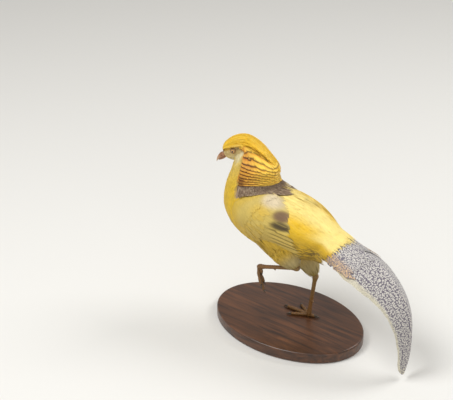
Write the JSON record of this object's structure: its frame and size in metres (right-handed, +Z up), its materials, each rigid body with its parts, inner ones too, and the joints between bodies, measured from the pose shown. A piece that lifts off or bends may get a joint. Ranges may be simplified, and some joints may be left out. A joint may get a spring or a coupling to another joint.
{
  "type": "golden pheasant",
  "caption": "Life-size still model of a golden pheasant cock of the yellow breed, walking with one foot raised, on a plain oval plinth",
  "frame": {"origin": "middle of the plinth's flat underside", "axes": "+Z is up, the bird walks towards -X, its left side is -Y and its right side is +Y"},
  "size_m": [0.3577, 0.18, 0.3164],
  "materials": {
    "plinth": "stained beech, satin lacquer",
    "lemon_feathers": "lemon-yellow feathers, smooth and soft",
    "amber_feathers": "broad orange-amber feathers with dark brown edges",
    "golden_feathers": "silky golden-yellow strands",
    "wing_feathers": "cream, tan and taupe flight feathers and coverts",
    "tail_feathers": "silver-white feathers with a fine dark net pattern",
    "horn": "pinkish horn, satin",
    "scales": "olive-amber scaled skin with dark horn claws",
    "eye": "polished glass eye, pale orange iris round a dark pupil"
  },
  "bodies": {
    "root": {"stand_base": "plinth", "torso": "lemon_feathers", "neck": "amber_feathers", "head": "golden_feathers", "bill_upper": "horn", "bill_lower": "horn", "eye_left": "eye", "eye_right": "eye", "wing_left": "wing_feathers", "wing_right": "wing_feathers", "tail": "tail_feathers", "thigh_left": "lemon_feathers", "thigh_right": "lemon_feathers", "tarsus_left": "scales", "tarsus_right": "scales", "foot_left": "scales", "foot_right": "scales"}
  },
  "joints": []
}
